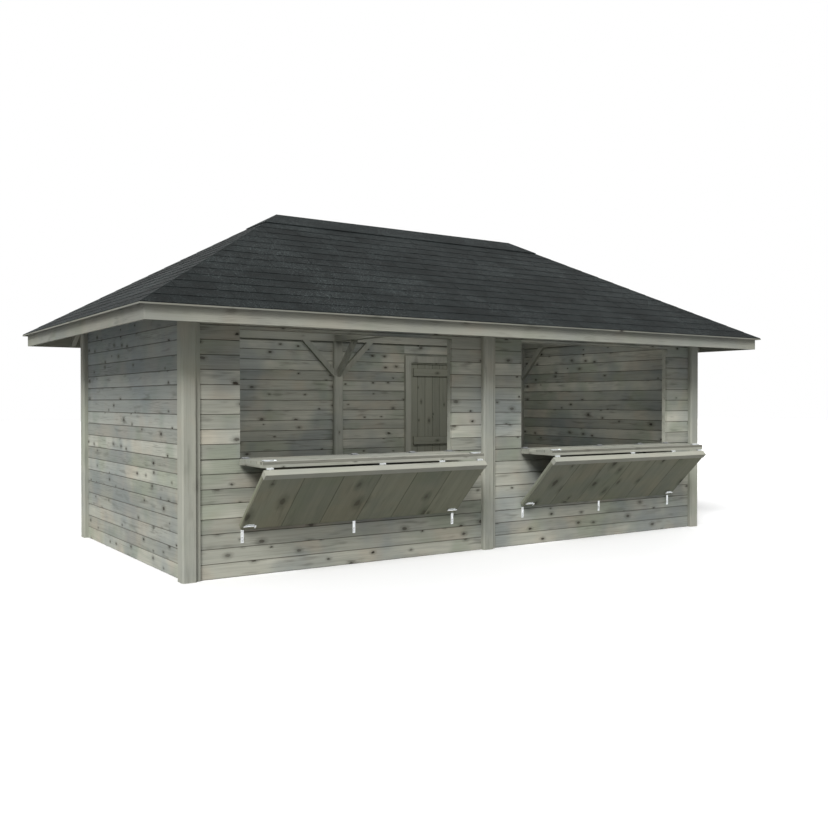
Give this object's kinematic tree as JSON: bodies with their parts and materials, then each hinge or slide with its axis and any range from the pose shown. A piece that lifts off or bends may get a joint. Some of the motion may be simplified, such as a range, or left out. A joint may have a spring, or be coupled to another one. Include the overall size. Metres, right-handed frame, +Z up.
{
  "type": "wooden market hut",
  "caption": "Timber market hut with a hip roof of dark shingles, board walls between posts, a ledged back door and two serving hatches whose leaves fold down into counters.",
  "frame": {"origin": "middle of the footprint on the ground", "axes": "+X to the right along the long front, +Y from the front to the back, +Z up"},
  "size_m": [6.934, 3.9665, 3.2603],
  "materials": {
    "post_timber": "rough sawn, weathered grey-green",
    "wall_boards": "planed, weathered grey-green",
    "interior_timber": "rough sawn",
    "hatch_boards": "planed, weathered",
    "door_boards": "planed, weathered",
    "fascia_boards": "planed, weathered grey",
    "roof_boards": "rough sawn",
    "bitumen_shingles": "gritty matte",
    "zinc_steel": "bright zinc plated"
  },
  "bodies": {
    "hut": {"front_posts": "post_timber", "back_posts": "post_timber", "long_wall_plates": "interior_timber", "end_wall_plates": "interior_timber", "tie_beam": "interior_timber", "braces": "interior_timber", "hatch_frames": "interior_timber", "door_frame": "interior_timber", "rafters": "interior_timber", "hip_rafters": "interior_timber", "ridge_board": "interior_timber", "front_wall_left_lower": "wall_boards", "front_wall_left_beside_hatch": "wall_boards", "front_wall_right_lower": "wall_boards", "front_wall_right_beside_hatch": "wall_boards", "front_wall_over_hatches": "wall_boards", "cover_battens": "wall_boards", "back_wall_left": "wall_boards", "back_wall_beside_door": "wall_boards", "back_wall_over_door": "wall_boards", "left_wall": "wall_boards", "right_wall": "wall_boards", "long_fascias": "fascia_boards", "end_fascias": "fascia_boards", "roof_boarding_front": "roof_boards", "roof_boarding_back": "roof_boards", "roof_boarding_left": "roof_boards", "roof_boarding_right": "roof_boards", "roofing_front": "bitumen_shingles", "roofing_back": "bitumen_shingles", "roofing_left": "bitumen_shingles", "roofing_right": "bitumen_shingles", "ridge_cap": "bitumen_shingles", "wall_fittings": "zinc_steel", "door_hinge_plates": "zinc_steel"},
    "left_counter_leaf": {"left_counter": "hatch_boards", "left_counter_fittings": "zinc_steel"},
    "left_support": {"left_support_leaf": "hatch_boards", "left_support_fittings": "zinc_steel"},
    "right_counter_leaf": {"right_counter": "hatch_boards", "right_counter_fittings": "zinc_steel"},
    "right_support": {"right_support_leaf": "hatch_boards", "right_support_fittings": "zinc_steel"},
    "door": {"door_leaf": "door_boards", "door_fittings": "zinc_steel"}
  },
  "joints": [
    {"name": "left_counter_fold", "type": "hinge", "parent": "hut", "child": "left_counter_leaf", "pos_m": [-1.455, -1.479, 0.953], "axis": [-1, 0, 0], "range_deg": [0, 90]},
    {"name": "left_support_fold", "type": "hinge", "parent": "left_counter_leaf", "child": "left_support", "pos_m": [-1.455, -1.943, 0.891], "axis": [-1, 0, 0], "range_deg": [0, 135.3]},
    {"name": "right_counter_fold", "type": "hinge", "parent": "hut", "child": "right_counter_leaf", "pos_m": [1.485, -1.479, 0.953], "axis": [-1, 0, 0], "range_deg": [0, 90]},
    {"name": "right_support_fold", "type": "hinge", "parent": "right_counter_leaf", "child": "right_support", "pos_m": [1.485, -1.943, 0.891], "axis": [-1, 0, 0], "range_deg": [0, 135.3]},
    {"name": "door_swing", "type": "hinge", "parent": "hut", "child": "door", "pos_m": [1.8805, 1.477, 0.95], "axis": [0, 0, -1], "range_deg": [0, 105]}
  ]
}
